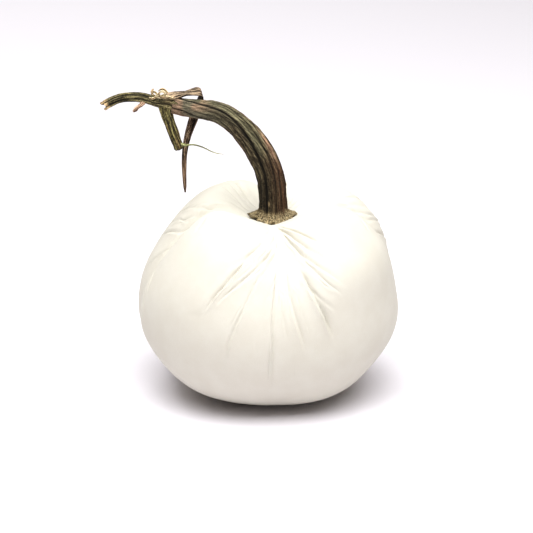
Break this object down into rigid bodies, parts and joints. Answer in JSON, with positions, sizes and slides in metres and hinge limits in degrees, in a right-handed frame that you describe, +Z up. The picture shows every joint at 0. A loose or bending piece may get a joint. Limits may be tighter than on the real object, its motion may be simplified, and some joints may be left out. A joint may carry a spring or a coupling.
{
  "type": "stuffed velvet pumpkin",
  "caption": "Stuffed ivory velvet pumpkin with soft lobes gathered under a real arched dried pumpkin stem, a free-standing autumn table decoration.",
  "frame": {"origin": "centre of the flat base, on the surface that the pumpkin stands on", "axes": "+Z up through the gathered top; -X towards the cut end of the vine; the widest view of the stem arch is seen along +Y"},
  "size_m": [0.2327, 0.2028, 0.2486],
  "materials": {
    "velvet": "ivory stretch velvet with a short soft pile",
    "fibre": "loose white polyester fibre",
    "muslin": "plain unbleached muslin",
    "pellets": "plastic weighting pellets",
    "thread": "strong waxed upholstery thread",
    "glue": "set hot-melt glue",
    "dried_stem": "dried pumpkin stem, dark ribs with olive, tan and pinkish patches",
    "dried_vine": "dried olive-brown vine with pale torn ends",
    "green_stalk": "dried green-yellow angular leaf stalk",
    "withered_stalk": "shrivelled pinkish-brown leaf stalk",
    "tendril": "thin pale dry tendril",
    "torn_fibre": "pale tan torn plant fibre",
    "bark": "pinkish peeled bark"
  },
  "bodies": {
    "root": {"velvet_cover": "velvet", "fibre_filling": "fibre", "ballast_bag": "muslin", "ballast_pellets": "pellets", "bag_tie": "thread", "gathering_thread": "thread", "tie_down_threads": "thread", "glue_pad": "glue", "main_stem": "dried_stem", "vine_cutting": "dried_vine", "leaf_stalk_stub": "green_stalk", "withered_stalk": "withered_stalk", "tendril": "tendril", "torn_fibres": "torn_fibre", "peeled_bark": "bark"}
  },
  "joints": []
}
